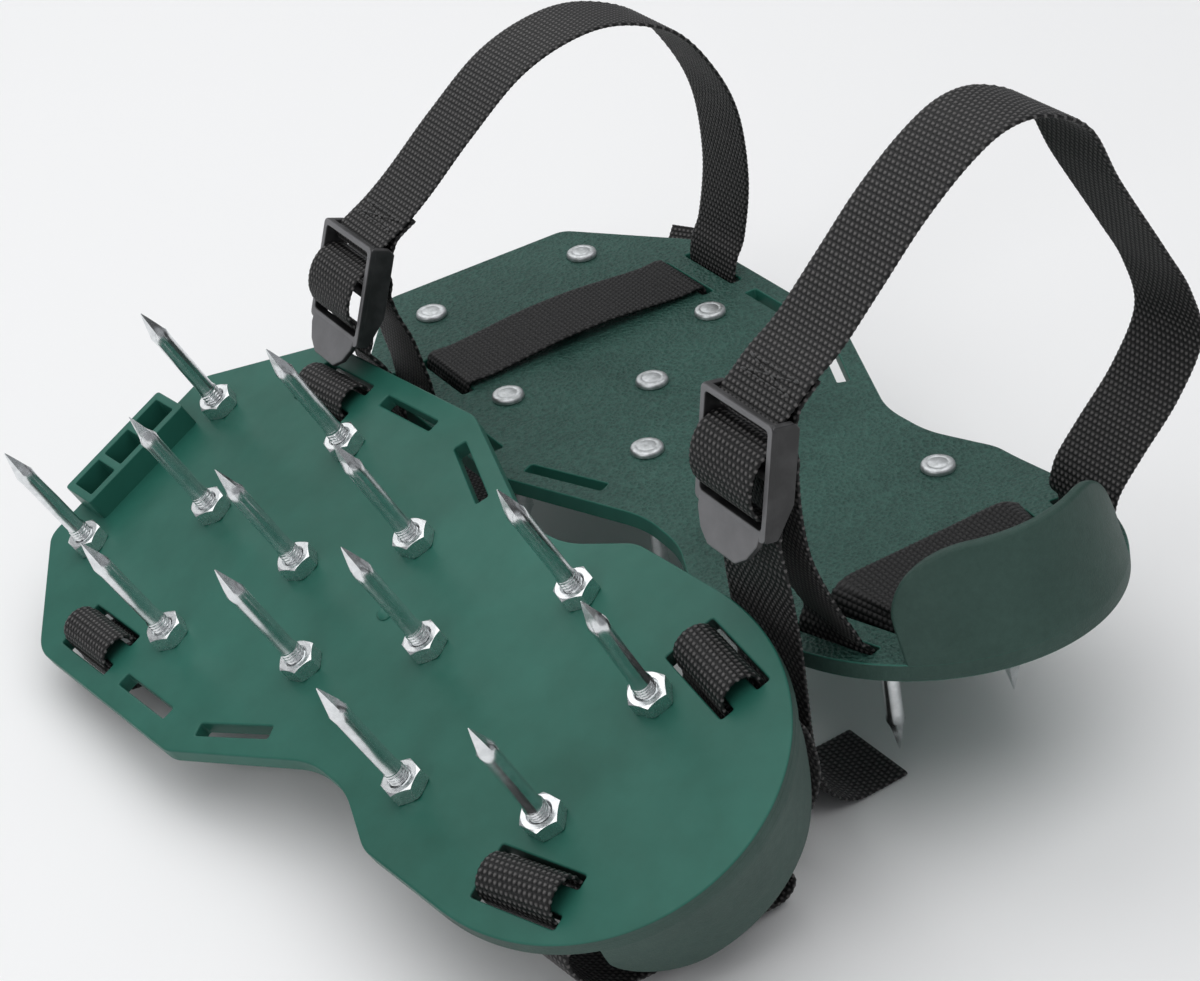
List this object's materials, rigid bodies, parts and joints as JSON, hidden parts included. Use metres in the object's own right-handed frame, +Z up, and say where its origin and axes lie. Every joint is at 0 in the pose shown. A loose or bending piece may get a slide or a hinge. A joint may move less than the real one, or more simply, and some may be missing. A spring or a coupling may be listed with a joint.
{
  "type": "lawn aerator shoes",
  "caption": "Pair of strap-on lawn aerator shoes: spiked plastic soles with heel cups, webbing straps and ladder-lock buckles, one standing and one turned over.",
  "frame": {"origin": "middle of the pair's footprint, on the ground that the spike tips stand on", "axes": "+X towards the toes, +Y from the standing shoe towards the upturned shoe, +Z up"},
  "size_m": [0.3089, 0.2818, 0.1826],
  "materials": {
    "green_plastic": "moulded, leather-grained on top and satin underneath",
    "spike_steel": "bright zinc plating",
    "nut_steel": "bright zinc plating",
    "webbing": "woven polypropylene webbing",
    "buckle_plastic": "satin moulded"
  },
  "bodies": {
    "standing_shoe": {"standing_sole": "green_plastic", "standing_spike_row_1": "spike_steel", "standing_spike_row_2": "spike_steel", "standing_spike_row_3": "spike_steel", "standing_spike_row_4": "spike_steel", "standing_spike_row_5": "spike_steel", "standing_spike_row_6": "spike_steel", "standing_spike_row_7": "spike_steel", "standing_spike_row_8": "spike_steel", "standing_spike_nuts": "nut_steel", "front_strap_base": "webbing", "front_strap_bends": "webbing", "front_strap_tail": "webbing", "heel_strap_base": "webbing", "heel_strap_bends": "webbing", "heel_strap_tail": "webbing"},
    "front_strap": {"front_strap_loop": "webbing", "front_strap_leg": "webbing"},
    "front_buckle": {"front_buckle": "buckle_plastic", "front_strap_wrap": "webbing"},
    "heel_strap": {"heel_strap_loop": "webbing", "heel_strap_leg": "webbing"},
    "heel_buckle": {"heel_buckle": "buckle_plastic", "heel_strap_wrap": "webbing"},
    "upturned_shoe": {"upturned_sole": "green_plastic", "upturned_spike_row_1": "spike_steel", "upturned_spike_row_2": "spike_steel", "upturned_spike_row_3": "spike_steel", "upturned_spike_row_4": "spike_steel", "upturned_spike_row_5": "spike_steel", "upturned_spike_row_6": "spike_steel", "upturned_spike_row_7": "spike_steel", "upturned_spike_row_8": "spike_steel", "upturned_spike_nuts": "nut_steel", "upturned_front_strap": "webbing", "upturned_front_strap_tail": "webbing", "upturned_heel_strap": "webbing", "upturned_heel_strap_tail": "webbing"},
    "upturned_front_buckle": {"upturned_front_buckle": "buckle_plastic", "upturned_front_strap_wrap": "webbing"},
    "upturned_heel_buckle": {"upturned_heel_buckle": "buckle_plastic", "upturned_heel_strap_wrap": "webbing"}
  },
  "joints": [
    {"name": "front_strap_swing", "type": "hinge", "parent": "standing_shoe", "child": "front_strap", "pos_m": [0.09025, -0.0477, 0.0505], "axis": [0, 1, 0], "range_deg": [-6, 30], "deforming": ["front_strap_bends"]},
    {"name": "front_buckle_tilt", "type": "hinge", "parent": "front_strap", "child": "front_buckle", "pos_m": [0.09025, 0.01643, 0.10202], "axis": [1, 0, 0], "range_deg": [0, 20]},
    {"name": "heel_strap_swing", "type": "hinge", "parent": "standing_shoe", "child": "heel_strap", "pos_m": [-0.10475, -0.0477, 0.0555], "axis": [0, 1, 0], "range_deg": [-8, 35], "deforming": ["heel_strap_bends"]},
    {"name": "heel_buckle_tilt", "type": "hinge", "parent": "heel_strap", "child": "heel_buckle", "pos_m": [-0.10475, 0.01077, 0.12805], "axis": [1, 0, 0], "range_deg": [0, 25]},
    {"name": "upturned_slide", "type": "slide", "parent": "standing_shoe", "child": "upturned_shoe", "axis": [0, 1, 0], "range_m": [0, 0.15]},
    {"name": "upturned_front_buckle_tilt", "type": "hinge", "parent": "upturned_shoe", "child": "upturned_front_buckle", "pos_m": [0.08052, 0.06187, 0.03309], "axis": [0.9935, 0.0869, -0.0732], "range_deg": [0, 20]},
    {"name": "upturned_heel_buckle_tilt", "type": "hinge", "parent": "upturned_shoe", "child": "upturned_heel_buckle", "pos_m": [-0.115, 0.05653, 0.03695], "axis": [0.9935, 0.0869, -0.0732], "range_deg": [0, 15]}
  ]
}
